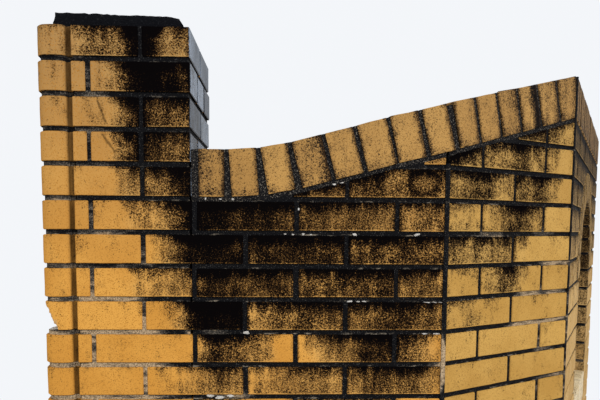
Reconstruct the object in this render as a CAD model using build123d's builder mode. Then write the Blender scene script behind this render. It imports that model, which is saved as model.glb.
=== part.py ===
from build123d import *
from math import atan, cos, degrees, radians, sin, tan
import os

os.makedirs("parts", exist_ok=True)

# Sizes in mm. X runs along the front to the right, Y into the wall, Z up.
# The origin is the middle of the pier's base.

# One brick and the joint round it
brick_length = 240.0
brick_width = 115.0
brick_height = 71.0
joint = 12.0
course = brick_height + joint
stretcher = brick_length + joint
three_quarter = 178.0

# Heights counted in courses from the base
pier_courses = 24
low_courses = 19
high_courses = 22
sill_courses = 9
spring_courses = 16

# Plan
wall_thickness = brick_length
pier_width = brick_width + joint + brick_length
pier_depth = pier_width
front_length = 2.5 * stretcher + joint / 2
splay_length = 2 * stretcher
splay_turn = 28.9
side_turn = 58.5
near_jamb_length = joint / 2 + brick_length + joint + three_quarter
sill_bricks = 7
opening_width = sill_bricks * course - joint
far_jamb_length = pier_width
side_length = near_jamb_length + opening_width + far_jamb_length

# Arch over the opening
arch_radius = opening_width / 2
ring_depth = brick_width
voussoirs = 13
arch_joint = 10.0

# Moulded corner of the pier
mould_size = 82.0
quirk_depth = 12.0
quirk_width = 11.0
bead_proud = 3.0
bead_radius = 29.0

# Weathered mortar cap on the pier
cap_front_setback = 40.0
cap_left_setback = 27.0
cap_right_setback = 18.0
cap_height = 42.0
cap_fall = 5.0
cap_worn = 34.0
cap_batter = 8.0

# Brick-on-edge coping: hand-laid, so each brick has its own share of the run and its own tilt
coping_height = brick_width
coping_joint = 11.0
coping_end_joint = 18.0
front_shares = [68, 77, 77, 82, 78, 82, 78, 76]
front_tilts = [0.0, 4.0, 10.5, 14.5, 14.5, 15.5, 13.0, 13.8]
splay_shares = [87, 78, 79, 81, 83, 96]

# Derived levels
pier_top = pier_courses * course
low_top = low_courses * course
high_top = high_courses * course
low_seat = low_top + joint
high_seat = high_top + joint
sill_under = sill_courses * course
sill_seat = sill_under + joint
spring = spring_courses * course + joint
ring_outer = arch_radius + ring_depth

# Places where the wall turns
face_y = -pier_depth / 2
pier_left = -pier_width / 2
pier_right = pier_width / 2
bend_x = pier_right + front_length
half_bend = radians(splay_turn / 2)
half_corner = radians((side_turn - splay_turn) / 2)
splay_rad = radians(splay_turn)
side_rad = radians(side_turn)
corner_x = bend_x + splay_length * cos(splay_rad)
corner_y = face_y + splay_length * sin(splay_rad)
arch_middle = near_jamb_length + opening_width / 2

# Ground plan and front view of each straight run, both measured along its outer face
front_plan = Plane(origin=(bend_x, face_y, 0), x_dir=(1, 0, 0), z_dir=(0, 0, 1))
front_view = Plane(origin=(bend_x, face_y, 0), x_dir=(1, 0, 0), z_dir=(0, -1, 0))
splay_plan = Plane(
    origin=(bend_x, face_y, 0), x_dir=(cos(splay_rad), sin(splay_rad), 0), z_dir=(0, 0, 1)
)
splay_view = Plane(
    origin=(bend_x, face_y, 0),
    x_dir=(cos(splay_rad), sin(splay_rad), 0),
    z_dir=(sin(splay_rad), -cos(splay_rad), 0),
)
side_plan = Plane(
    origin=(corner_x, corner_y, 0), x_dir=(cos(side_rad), sin(side_rad), 0), z_dir=(0, 0, 1)
)
side_view = Plane(
    origin=(corner_x, corner_y, 0),
    x_dir=(cos(side_rad), sin(side_rad), 0),
    z_dir=(sin(side_rad), -cos(side_rad), 0),
)


def mitre(depth, half_angle, gap=joint / 2):
    """Length lost at a mitred end, at this depth behind the outer face."""
    return (gap + depth * sin(half_angle)) / cos(half_angle)


def step_along(point, tilt, length):
    """The point this far along a line that rises at this tilt."""
    return (point[0] + length * cos(radians(tilt)), point[1] + length * sin(radians(tilt)))


def brick_corners(near_head, far_head, tilt):
    """Corners of a coping brick on its narrow edge, from the ends of its top edge."""
    foot = step_along(near_head, tilt - 90, coping_height)
    far_foot = step_along(far_head, tilt - 90, coping_height)
    return [foot, far_foot, far_head, near_head]


def line_height(start, end, along):
    """Height on the straight line through two points of a front view."""
    return start[1] + (end[1] - start[1]) * (along - start[0]) / (end[0] - start[0])


# Coping of the front run: level beside the pier, then bending up into the ramp
front_start = -front_length + coping_end_joint
front_unit = -front_start / sum(front_shares)
front_bricks = []
head = (front_start, low_seat + coping_height)
for i, (share, tilt) in enumerate(zip(front_shares, front_tilts)):
    slant = cos(radians(tilt))
    pitch = share * front_unit / slant
    if i == 0:
        width = pitch - coping_joint / 2
    else:
        width = pitch - coping_joint
    far_head = step_along(head, tilt, width)
    front_bricks.append(brick_corners(head, far_head, tilt))
    head = step_along(far_head, tilt, coping_joint)
bend_seat = line_height(front_bricks[-1][0], front_bricks[-1][1], 0.0)

# Coping of the splay: one straight ramp from the bend to the corner
splay_slope = atan((high_seat - bend_seat) / splay_length)
splay_tilt = degrees(splay_slope)
splay_unit = splay_length / sum(splay_shares)
splay_bricks = []
along = 0.0
for share in splay_shares:
    along_next = along + share * splay_unit
    heads = []
    for u in (along + coping_joint / 2 * cos(splay_slope), along_next - coping_joint / 2 * cos(splay_slope)):
        heads.append((u, bend_seat + u * tan(splay_slope) + coping_height / cos(splay_slope)))
    splay_bricks.append(brick_corners(heads[0], heads[1], splay_tilt))
    along = along_next

# Coping of the side run: level
side_start = mitre(0, half_corner)
side_run = side_length - side_start
coping_bricks_side = round((side_run + coping_joint) / (brick_height + coping_joint))
side_joint = (side_run - coping_bricks_side * brick_height) / (coping_bricks_side - 1)
side_head = high_seat + coping_height
side_bricks = []
for i in range(coping_bricks_side):
    u = side_start + i * (brick_height + side_joint)
    side_bricks.append(brick_corners((u, side_head), (u + brick_height, side_head), 0.0))

# Seat lines under the coping, from left to right
front_seat = [(-front_length, low_seat)]
for corners in front_bricks[:-1]:
    front_seat += [corners[0], corners[1]]
front_seat += [front_bricks[-1][0], (0.0, bend_seat)]
splay_seat = [(0.0, bend_seat), (splay_length, high_seat)]

# Pier
with BuildPart() as pier_brickwork:
    with BuildSketch():
        Rectangle(pier_width, pier_depth)
        with Locations((pier_left, face_y)):
            Rectangle(mould_size, mould_size, align=(Align.MIN, Align.MIN), mode=Mode.SUBTRACT)
    extrude(amount=pier_top)
pier_brickwork.part.label = "pier_brickwork"
export_step(pier_brickwork.part, "parts/pier_brickwork.step")

# The moulded bricks: a bead round the arris with a quirk on both of its faces
quirk_edge = mould_size - quirk_width
crown_start = quirk_edge - 17
crown_end = bead_radius - bead_proud
corner_mid = crown_end - bead_radius * cos(radians(45))
with BuildPart() as pier_corner_moulding:
    with BuildSketch(Plane(origin=(pier_left, face_y, 0))):
        with BuildLine():
            Line((mould_size, mould_size), (mould_size, quirk_depth))
            Line((mould_size, quirk_depth), (quirk_edge, quirk_depth))
            ThreePointArc(
                (quirk_edge, quirk_depth),
                (quirk_edge - 5, quirk_depth - 10),
                (crown_start, -bead_proud),
            )
            ThreePointArc(
                (crown_start, -bead_proud),
                ((crown_start + crown_end) / 2, -bead_proud - 1.2),
                (crown_end, -bead_proud),
            )
            ThreePointArc((crown_end, -bead_proud), (corner_mid, corner_mid), (-bead_proud, crown_end))
            ThreePointArc(
                (-bead_proud, crown_end),
                (-bead_proud - 1.2, (crown_start + crown_end) / 2),
                (-bead_proud, crown_start),
            )
            ThreePointArc(
                (-bead_proud, crown_start),
                (quirk_depth - 10, quirk_edge - 5),
                (quirk_depth, quirk_edge),
            )
            Line((quirk_depth, quirk_edge), (quirk_depth, mould_size))
            Line((quirk_depth, mould_size), (mould_size, mould_size))
        make_face()
    extrude(amount=pier_top)
pier_corner_moulding.part.label = "pier_corner_moulding"
export_step(pier_corner_moulding.part, "parts/pier_corner_moulding.step")

# Cap: a hand-laid slab of mortar, set back from the arris and worn round at its right end
cap_left = pier_left + cap_left_setback
cap_right = pier_right - cap_right_setback
with BuildPart() as pier_cap:
    with BuildSketch(Plane(origin=(0, face_y + cap_front_setback, 0), x_dir=(1, 0, 0), z_dir=(0, -1, 0))):
        with BuildLine():
            Polyline(
                (cap_right - cap_worn, pier_top + cap_height - cap_fall),
                (cap_left + cap_batter, pier_top + cap_height),
                (cap_left, pier_top),
                (cap_right, pier_top),
            )
            EllipticalCenterArc(
                (cap_right - cap_worn, pier_top),
                cap_worn,
                cap_height - cap_fall,
                start_angle=0,
                arc_size=90,
            )
        make_face()
    extrude(amount=-(pier_depth - 2 * cap_front_setback))
pier_cap.part.label = "pier_cap"
export_step(pier_cap.part, "parts/pier_cap.step")

# Front run
with BuildPart() as front_wall:
    with BuildSketch(front_plan):
        Polygon(
            (-front_length, 0),
            (-mitre(0, half_bend), 0),
            (-mitre(wall_thickness, half_bend), wall_thickness),
            (-front_length, wall_thickness),
            align=None,
        )
    extrude(amount=high_top)
    with BuildSketch(front_view):
        Polygon(
            (-front_length, 0),
            (0, 0),
            *[(u, z - joint) for u, z in reversed(front_seat)],
            align=None,
        )
    extrude(amount=-wall_thickness, mode=Mode.INTERSECT)
front_wall.part.label = "front_wall"
export_step(front_wall.part, "parts/front_wall.step")

# Its mortar bed, with the upright joint between the first coping brick and the pier
with BuildPart() as front_bedding:
    with BuildSketch(front_plan):
        Polygon(
            (-front_length, 0),
            (-mitre(0, half_bend), 0),
            (-mitre(wall_thickness, half_bend), wall_thickness),
            (-front_length, wall_thickness),
            align=None,
        )
    extrude(amount=high_top)
    with BuildSketch(front_view):
        Polygon(
            (-front_length, low_seat + coping_height),
            (-front_length, low_top),
            *[(u, z - joint) for u, z in front_seat[1:]],
            *[(u, z) for u, z in reversed(front_seat[1:])],
            (front_start, low_seat + coping_height),
            align=None,
        )
    extrude(amount=-wall_thickness, mode=Mode.INTERSECT)
front_bedding.part.label = "front_bedding"
export_step(front_bedding.part, "parts/front_bedding.step")

# Front coping, one piece a brick; the last one is cut on the line of the bend
bend_tilt = radians(front_tilts[-1])
bend_lean = Vector(sin(bend_tilt), 0, -cos(bend_tilt))
bend_in = Vector(-sin(half_bend), cos(half_bend), 0)
last_head = front_bricks[-1][2]
front_cut = Plane(
    origin=(bend_x + last_head[0], face_y, last_head[1]), x_dir=bend_in, z_dir=bend_in.cross(bend_lean)
)
over_bend = []
for i, corners in enumerate(front_bricks):
    with BuildPart() as front_coping:
        with BuildSketch(front_view):
            Polygon(*corners, align=None)
        extrude(amount=-wall_thickness)
        if i == len(front_bricks) - 1:
            split(bisect_by=front_cut, keep=Keep.TOP)
    name = f"front_coping_{i + 1}"
    front_coping.part.label = name
    export_step(front_coping.part, f"parts/{name}.step")
    if i >= len(front_bricks) - 2:
        over_bend.append(front_coping.part)

with BuildPart() as front_coping_joints:
    with BuildSketch(front_view):
        for left, right in zip(front_bricks[:-1], front_bricks[1:]):
            Polygon(left[1], right[0], right[3], left[2], align=None)
    extrude(amount=-wall_thickness)
front_coping_joints.part.label = "front_coping_joints"
export_step(front_coping_joints.part, "parts/front_coping_joints.step")
over_bend.append(front_coping_joints.part)

# Upright joint at the bend
with BuildPart() as bend_joint:
    with BuildSketch(front_plan):
        Polygon(
            (-mitre(0, half_bend), 0),
            (0, 0),
            (mitre(0, half_bend) * cos(splay_rad), mitre(0, half_bend) * sin(splay_rad)),
            (
                mitre(wall_thickness, half_bend) * cos(splay_rad) - wall_thickness * sin(splay_rad),
                mitre(wall_thickness, half_bend) * sin(splay_rad) + wall_thickness * cos(splay_rad),
            ),
            (-wall_thickness * tan(half_bend), wall_thickness),
            (-mitre(wall_thickness, half_bend), wall_thickness),
            align=None,
        )
    extrude(amount=bend_seat - joint - 18)
bend_joint.part.label = "bend_joint"
export_step(bend_joint.part, "parts/bend_joint.step")

# Splay
splay_outline = [
    (mitre(0, half_bend), 0),
    (splay_length - mitre(0, half_corner), 0),
    (splay_length - mitre(wall_thickness, half_corner), wall_thickness),
    (mitre(wall_thickness, half_bend), wall_thickness),
]
with BuildPart() as splay_wall:
    with BuildSketch(splay_plan):
        Polygon(*splay_outline, align=None)
    extrude(amount=high_top)
    with BuildSketch(splay_view):
        Polygon(
            (0, 0),
            (splay_length, 0),
            (splay_length, high_seat - joint),
            (0, bend_seat - joint),
            align=None,
        )
    extrude(amount=-wall_thickness, mode=Mode.INTERSECT)
    for piece in over_bend:
        add(piece, mode=Mode.SUBTRACT)
splay_wall.part.label = "splay_wall"
export_step(splay_wall.part, "parts/splay_wall.step")

with BuildPart() as splay_bedding:
    with BuildSketch(splay_plan):
        Polygon(*splay_outline, align=None)
    extrude(amount=high_seat)
    with BuildSketch(splay_view):
        Polygon(
            (0, bend_seat - joint),
            (splay_length, high_seat - joint),
            (splay_length, high_seat),
            (0, bend_seat),
            align=None,
        )
    extrude(amount=-wall_thickness, mode=Mode.INTERSECT)
    for piece in over_bend:
        add(piece, mode=Mode.SUBTRACT)
splay_bedding.part.label = "splay_bedding"
export_step(splay_bedding.part, "parts/splay_bedding.step")

# Splay coping: the first brick is cut on the bend, the last one on the corner
splay_lean = Vector(
    sin(splay_slope) * cos(splay_rad), sin(splay_slope) * sin(splay_rad), -cos(splay_slope)
)
first_head = splay_bricks[0][3]
splay_cut = Plane(
    origin=(
        bend_x + first_head[0] * cos(splay_rad),
        face_y + first_head[0] * sin(splay_rad),
        first_head[1],
    ),
    x_dir=bend_in,
    z_dir=bend_in.cross(splay_lean),
)
for i, corners in enumerate(splay_bricks):
    with BuildPart() as splay_coping:
        with BuildSketch(splay_view):
            Polygon(*corners, align=None)
        extrude(amount=-wall_thickness)
        if i == 0:
            split(bisect_by=splay_cut, keep=Keep.BOTTOM)
        if i == len(splay_bricks) - 1:
            with BuildSketch(splay_plan.offset(bend_seat)):
                Polygon(*splay_outline, align=None)
            extrude(amount=high_seat + 2 * coping_height - bend_seat, mode=Mode.INTERSECT)
    name = f"splay_coping_{i + 1}"
    splay_coping.part.label = name
    export_step(splay_coping.part, f"parts/{name}.step")

with BuildPart() as splay_coping_joints:
    with BuildSketch(splay_view):
        for left, right in zip(splay_bricks[:-1], splay_bricks[1:]):
            Polygon(left[1], right[0], right[3], left[2], align=None)
    extrude(amount=-wall_thickness)
    with BuildSketch(splay_plan.offset(bend_seat)):
        Polygon(*splay_outline, align=None)
    extrude(amount=high_seat + 2 * coping_height - bend_seat, mode=Mode.INTERSECT)
splay_coping_joints.part.label = "splay_coping_joints"
export_step(splay_coping_joints.part, "parts/splay_coping_joints.step")

# Upright joint at the corner, up to the top of the coping
with BuildPart() as corner_joint:
    with BuildSketch(side_plan):
        Polygon(
            (
                -mitre(0, half_corner) * cos(side_rad - splay_rad),
                mitre(0, half_corner) * sin(side_rad - splay_rad),
            ),
            (0, 0),
            (mitre(0, half_corner), 0),
            (mitre(wall_thickness, half_corner), wall_thickness),
            (wall_thickness * tan(half_corner), wall_thickness),
            (
                -mitre(wall_thickness, half_corner) * cos(side_rad - splay_rad)
                + wall_thickness * sin(side_rad - splay_rad),
                mitre(wall_thickness, half_corner) * sin(side_rad - splay_rad)
                + wall_thickness * cos(side_rad - splay_rad),
            ),
            align=None,
        )
    extrude(amount=high_seat + coping_height)
corner_joint.part.label = "corner_joint"
export_step(corner_joint.part, "parts/corner_joint.step")


def side_end(depth):
    """Where the side run starts at this depth behind its outer face."""
    return mitre(depth, half_corner)


# Side run: two jambs, the wall under the sill, and the arch
with BuildPart() as near_jamb:
    with BuildSketch(side_plan):
        Polygon(
            (side_end(0), 0),
            (near_jamb_length, 0),
            (near_jamb_length, wall_thickness),
            (side_end(wall_thickness), wall_thickness),
            align=None,
        )
    extrude(amount=spring)
near_jamb.part.label = "near_jamb"
export_step(near_jamb.part, "parts/near_jamb.step")

with BuildPart() as far_jamb:
    with BuildSketch(side_plan):
        with Locations((near_jamb_length + opening_width, 0)):
            Rectangle(far_jamb_length, wall_thickness, align=(Align.MIN, Align.MIN))
    extrude(amount=spring)
far_jamb.part.label = "far_jamb"
export_step(far_jamb.part, "parts/far_jamb.step")

with BuildPart() as under_sill_wall:
    with BuildSketch(side_plan):
        with Locations((near_jamb_length, 0)):
            Rectangle(opening_width, wall_thickness, align=(Align.MIN, Align.MIN))
    extrude(amount=sill_under)
under_sill_wall.part.label = "under_sill_wall"
export_step(under_sill_wall.part, "parts/under_sill_wall.step")

with BuildPart() as sill_bedding:
    with BuildSketch(side_plan.offset(sill_under)):
        with Locations((near_jamb_length, 0)):
            Rectangle(opening_width, wall_thickness, align=(Align.MIN, Align.MIN))
    extrude(amount=joint)
sill_bedding.part.label = "sill_bedding"
export_step(sill_bedding.part, "parts/sill_bedding.step")

with BuildPart() as sill_brick_row:
    with BuildSketch(side_view):
        for i in range(sill_bricks):
            with Locations((near_jamb_length + i * course, sill_seat)):
                Rectangle(brick_height, coping_height, align=(Align.MIN, Align.MIN))
    extrude(amount=-wall_thickness)
sill_brick_row.part.label = "sill_brick_row"
export_step(sill_brick_row.part, "parts/sill_brick_row.step")

with BuildPart() as sill_joints:
    with BuildSketch(side_view):
        for i in range(sill_bricks - 1):
            with Locations((near_jamb_length + i * course + brick_height, sill_seat)):
                Rectangle(joint, coping_height, align=(Align.MIN, Align.MIN))
    extrude(amount=-wall_thickness)
sill_joints.part.label = "sill_joints"
export_step(sill_joints.part, "parts/sill_joints.step")


def ring_point(radius, angle):
    """A point of the arch, its angle taken from the far springing."""
    return (arch_middle + radius * cos(radians(angle)), spring + radius * sin(radians(angle)))


# The arch: tapered bricks with even joints round a half circle
arch_pitch = 180.0 / voussoirs
half_joint_in = degrees(arch_joint / 2 / arch_radius)
half_joint_out = degrees(arch_joint / 2 / ring_outer)
with BuildPart() as arch_ring:
    with BuildSketch(side_view):
        for i in range(voussoirs):
            start, end = i * arch_pitch, (i + 1) * arch_pitch
            first = 0 if i == 0 else 1
            last = 0 if i == voussoirs - 1 else 1
            Polygon(
                ring_point(arch_radius, start + first * half_joint_in),
                ring_point(ring_outer, start + first * half_joint_out),
                ring_point(ring_outer, end - last * half_joint_out),
                ring_point(arch_radius, end - last * half_joint_in),
                align=None,
            )
    extrude(amount=-wall_thickness)
arch_ring.part.label = "arch_ring"
export_step(arch_ring.part, "parts/arch_ring.step")

with BuildPart() as arch_joints:
    with BuildSketch(side_view):
        for i in range(1, voussoirs):
            angle = i * arch_pitch
            Polygon(
                ring_point(arch_radius, angle - half_joint_in),
                ring_point(ring_outer, angle - half_joint_out),
                ring_point(ring_outer, angle + half_joint_out),
                ring_point(arch_radius, angle + half_joint_in),
                align=None,
            )
    extrude(amount=-wall_thickness)
arch_joints.part.label = "arch_joints"
export_step(arch_joints.part, "parts/arch_joints.step")

# Brickwork round the ring, split so that every piece stays clear of the opening
shoulder_near = arch_middle - ring_outer
shoulder_far = arch_middle + ring_outer
with BuildPart() as near_shoulder:
    with BuildSketch(side_plan.offset(spring)):
        Polygon(
            (side_end(0), 0),
            (shoulder_near, 0),
            (shoulder_near, wall_thickness),
            (side_end(wall_thickness), wall_thickness),
            align=None,
        )
    extrude(amount=high_top - spring)
near_shoulder.part.label = "near_shoulder"
export_step(near_shoulder.part, "parts/near_shoulder.step")

with BuildPart() as far_shoulder:
    with BuildSketch(side_plan.offset(spring)):
        with Locations((shoulder_far, 0)):
            Rectangle(side_length - shoulder_far, wall_thickness, align=(Align.MIN, Align.MIN))
    extrude(amount=high_top - spring)
far_shoulder.part.label = "far_shoulder"
export_step(far_shoulder.part, "parts/far_shoulder.step")

ring_top = spring + ring_outer
with BuildPart() as crown_course:
    with BuildSketch(side_view):
        with Locations((shoulder_near, ring_top)):
            Rectangle(2 * ring_outer, high_top - ring_top, align=(Align.MIN, Align.MIN))
    extrude(amount=-wall_thickness)
crown_course.part.label = "crown_course"
export_step(crown_course.part, "parts/crown_course.step")

for name, mirror_side, start_angle in (
    ("near_spandrel_low", -1, 0),
    ("near_spandrel_high", -1, 45),
    ("far_spandrel_low", 1, 0),
    ("far_spandrel_high", 1, 45),
):
    end_angle = start_angle + 45
    arc_points = []
    for degree in (start_angle, start_angle + 22.5, end_angle):
        arc_points.append(
            (
                arch_middle + mirror_side * ring_outer * cos(radians(degree)),
                spring + ring_outer * sin(radians(degree)),
            )
        )
    outer_corner = (arch_middle + mirror_side * ring_outer, ring_top)
    with BuildPart() as spandrel:
        with BuildSketch(side_view):
            with BuildLine():
                ThreePointArc(*arc_points)
                Line(arc_points[2], outer_corner)
                Line(outer_corner, arc_points[0])
            make_face()
        extrude(amount=-wall_thickness)
    spandrel.part.label = name
    export_step(spandrel.part, f"parts/{name}.step")

# Bed and coping of the side run
with BuildPart() as side_bedding:
    with BuildSketch(side_plan.offset(high_top)):
        Polygon(
            (side_end(0), 0),
            (side_length, 0),
            (side_length, wall_thickness),
            (side_end(wall_thickness), wall_thickness),
            align=None,
        )
    extrude(amount=joint)
side_bedding.part.label = "side_bedding"
export_step(side_bedding.part, "parts/side_bedding.step")

side_groups = {
    "side_coping_near": side_bricks[:5],
    "side_coping_middle": side_bricks[5:12],
    "side_coping_far": side_bricks[12:],
}
for name, group in side_groups.items():
    with BuildPart() as side_coping:
        with BuildSketch(side_view):
            for corners in group:
                Polygon(*corners, align=None)
        extrude(amount=-wall_thickness)
        if name == "side_coping_near":
            with BuildSketch(side_plan.offset(high_seat)):
                Polygon(
                    (side_end(0), 0),
                    (side_length, 0),
                    (side_length, wall_thickness),
                    (side_end(wall_thickness), wall_thickness),
                    align=None,
                )
            extrude(amount=coping_height, mode=Mode.INTERSECT)
    side_coping.part.label = name
    export_step(side_coping.part, f"parts/{name}.step")

with BuildPart() as side_coping_joints:
    with BuildSketch(side_view):
        for left, right in zip(side_bricks[:-1], side_bricks[1:]):
            Polygon(left[1], right[0], right[3], left[2], align=None)
    extrude(amount=-wall_thickness)
side_coping_joints.part.label = "side_coping_joints"
export_step(side_coping_joints.part, "parts/side_coping_joints.step")
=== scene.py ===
import math
import random

import bpy
import numpy as np
from mathutils import Matrix, Vector, noise


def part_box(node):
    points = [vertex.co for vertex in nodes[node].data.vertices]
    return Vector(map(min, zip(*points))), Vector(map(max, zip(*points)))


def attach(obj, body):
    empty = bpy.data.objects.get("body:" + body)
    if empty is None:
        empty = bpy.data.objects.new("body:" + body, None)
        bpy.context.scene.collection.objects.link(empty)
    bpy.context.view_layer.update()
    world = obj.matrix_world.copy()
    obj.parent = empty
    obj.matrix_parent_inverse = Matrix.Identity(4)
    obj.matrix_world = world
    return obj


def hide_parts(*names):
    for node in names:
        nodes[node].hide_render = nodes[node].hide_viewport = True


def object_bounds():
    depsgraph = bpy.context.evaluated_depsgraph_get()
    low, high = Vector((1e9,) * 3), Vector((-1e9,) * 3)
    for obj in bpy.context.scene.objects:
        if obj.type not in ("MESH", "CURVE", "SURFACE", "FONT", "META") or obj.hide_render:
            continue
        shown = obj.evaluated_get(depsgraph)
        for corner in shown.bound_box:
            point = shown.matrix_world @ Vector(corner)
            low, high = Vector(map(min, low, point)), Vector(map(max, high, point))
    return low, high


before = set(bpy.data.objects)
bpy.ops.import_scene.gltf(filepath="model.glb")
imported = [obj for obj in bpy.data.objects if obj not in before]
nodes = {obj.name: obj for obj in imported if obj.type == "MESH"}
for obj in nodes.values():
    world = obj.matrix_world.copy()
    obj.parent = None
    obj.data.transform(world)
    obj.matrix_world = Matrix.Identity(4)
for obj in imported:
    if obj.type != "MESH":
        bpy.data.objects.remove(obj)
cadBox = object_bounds()
chance = random.Random(24)
noise.seed_set(24)  # or else Blender shifts its noise by the clock

# All sizes are in metres and all angles in degrees
brick = {
    "length": 0.240,
    "width": 0.115,
    "height": 0.071,
    "joint": 0.012,
    "arris": 0.0022,
}
plan = {
    "front": 0.636,
    "splay": 0.504,
    "splayTurn": 28.9,
    "sideTurn": 58.5,
    "thickness": 0.240,
    "nearJamb": 0.436,
    "opening": 0.569,
    "side": 1.372,
    "courses": 24,
    "underSill": 16,  # first full course under the sill, counted from the pier's top
    "overSpring": 8,  # lowest course over the springing of the arch
    "overCrown": 3,  # the course that runs clear over the arch
    "arch": 0.2845,
    "ring": 0.115,
}
course = brick["height"] + brick["joint"]
halfJoint = brick["joint"] / 2
pierLow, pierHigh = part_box("pier_brickwork")
pierSize = pierHigh.x - pierLow.x
faceY = pierLow.y
pierLeft = -plan["front"] - pierSize
archMiddle = plan["nearJamb"] + plan["opening"] / 2


def runFrom(origin, turn):
    angle = math.radians(turn)
    return {
        "origin": Vector(origin),
        "along": Vector((math.cos(angle), math.sin(angle), 0)),
        "inward": Vector((-math.sin(angle), math.cos(angle), 0)),
    }


# The three straight runs: u is measured along the outer face, v into the wall
runs = {"front": runFrom((pierHigh.x + plan["front"], faceY, 0), 0)}
runs["splay"] = runFrom(runs["front"]["origin"], plan["splayTurn"])
cornerPoint = runs["splay"]["origin"] + runs["splay"]["along"] * plan["splay"]
runs["side"] = runFrom(cornerPoint, plan["sideTurn"])
halfBend = math.radians(plan["splayTurn"] / 2)
halfCorner = math.radians((plan["sideTurn"] - plan["splayTurn"]) / 2)


def toWorld(run, u, v, z):
    points = np.outer(u, run["along"]) + np.outer(v, run["inward"]) + np.array(run["origin"])
    points[:, 2] += z
    return points


def toRun(run, points):
    local = points - np.array(run["origin"])
    return local @ np.array(run["along"]), local @ np.array(run["inward"]), points[:, 2]


def bottomOf(number):
    return (plan["courses"] - number) * course + brick["joint"]


def topOf(number):
    return bottomOf(number) + brick["height"]


rampFoot = 5  # the lowest course of the pier that stands clear of the wall
clearAbove = topOf(rampFoot + 1)  # over this height the pier's right side stands free


def smooth(share):
    share = np.clip(share, 0, 1)
    return share * share * (3 - 2 * share)


# Soot: for each course, where it starts and ends along the run in millimetres, and how thick it lies
# in hundredths of a full layer
frontSoot = {
    1: [(-1010, -900, 17), (-905, -836, 44), (-838, -818, 62), (-820, -788, 42), (-788, -738, 120),
        (-738, -716, 110), (-716, -704, 52), (-706, -690, 32), (-692, -678, 48), (-680, -655, 32),
        (-657, -620, 44)],
    2: [(-1010, -860, 9), (-850, -800, 27), (-804, -776, 72), (-780, -700, 130), (-704, -664, 96),
        (-668, -620, 84)],
    3: [(-1010, -850, 6), (-872, -830, 17), (-820, -784, 44), (-786, -740, 96), (-738, -620, 62)],
    4: [(-830, -796, 30), (-800, -750, 76), (-752, -700, 72), (-705, -620, 58), (-90, -4, 20)],
    5: [(-820, -780, 27), (-790, -757, 50), (-755, -685, 52), (-692, -664, 62), (-668, -620, 92),
        (-500, -380, 58), (-384, -250, 56), (-248, -150, 58), (-155, -100, 46), (-104, -4, 48)],
    6: [(-800, -730, 28), (-736, -690, 34), (-695, -664, 48), (-664, -620, 100), (-628, -520, 96),
        (-524, -490, 70), (-494, -450, 90), (-456, -400, 76), (-405, -376, 60), (-374, -320, 64),
        (-325, -250, 56), (-252, -185, 52), (-190, -126, 48), (-122, -60, 42), (-65, -4, 44)],
    7: [(-730, -690, 24), (-695, -655, 50), (-656, -560, 96), (-565, -505, 92), (-500, -486, 44),
        (-490, -430, 92), (-434, -385, 72), (-390, -330, 84), (-335, -256, 80), (-250, -190, 73),
        (-195, -135, 58), (-140, -90, 72), (-95, -4, 62)],
    8: [(-790, -750, 26), (-756, -690, 28), (-695, -640, 37), (-628, -580, 86), (-585, -520, 74),
        (-525, -450, 62), (-455, -384, 72), (-374, -300, 63), (-305, -220, 68), (-225, -155, 70),
        (-158, -144, 90), (-146, -126, 52), (-124, -60, 56), (-65, -4, 50)],
    9: [(-720, -690, 12), (-694, -660, 20), (-664, -642, 50), (-642, -505, 112), (-498, -450, 40),
        (-455, -390, 51), (-395, -325, 58), (-330, -256, 60), (-250, -190, 57), (-195, -135, 62),
        (-138, -105, 74), (-108, -4, 56)],
    10: [(-628, -595, 36), (-600, -540, 68), (-545, -484, 58), (-488, -430, 34), (-370, -330, 18),
        (-335, -280, 39), (-285, -220, 56), (-225, -126, 80), (-124, -85, 62), (-90, -40, 42),
        (-45, -4, 26)],
    11: [(-735, -660, 14), (-665, -600, 26), (-605, -505, 41), (-496, -430, 29), (-434, -350, 34),
        (-355, -256, 46), (-245, -180, 50), (-185, -120, 61), (-125, -45, 54), (-50, -4, 30)],
    12: [(-640, -500, 28), (-372, -250, 32), (-255, -130, 40)],
    13: [(-480, -320, 24), (-240, -100, 26)],
    14: [(-420, -220, 18)],
}
splaySoot = {
    3: [(240, 376, 50), (380, 430, 46), (430, 500, 32)],
    4: [(4, 60, 70), (55, 122, 52), (128, 190, 34), (190, 236, 42), (236, 300, 68), (295, 374, 44),
        (380, 420, 24)],
    5: [(4, 60, 40), (55, 110, 50), (110, 165, 62), (162, 225, 34), (225, 248, 30), (256, 330, 50),
        (325, 385, 66), (380, 440, 32)],
    6: [(4, 90, 28), (130, 200, 20), (200, 240, 46), (235, 318, 66), (314, 374, 42)],
    7: [(4, 35, 50), (30, 100, 34), (96, 150, 46), (146, 200, 34), (200, 248, 44), (256, 310, 26)],
    8: [(4, 110, 12), (140, 200, 26), (196, 270, 52), (265, 310, 24)],
    9: [(4, 120, 22), (110, 200, 14)],
}
sideSoot = (54, 56, 50, 44, 38, 32, 24, 14)  # all along the run, from the second course down
soot = {
    "front": frontSoot, "splay": splaySoot,
    "side": {number: [(0, 1400, thick)] for number, thick in enumerate(sideSoot, 2)},
}
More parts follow.
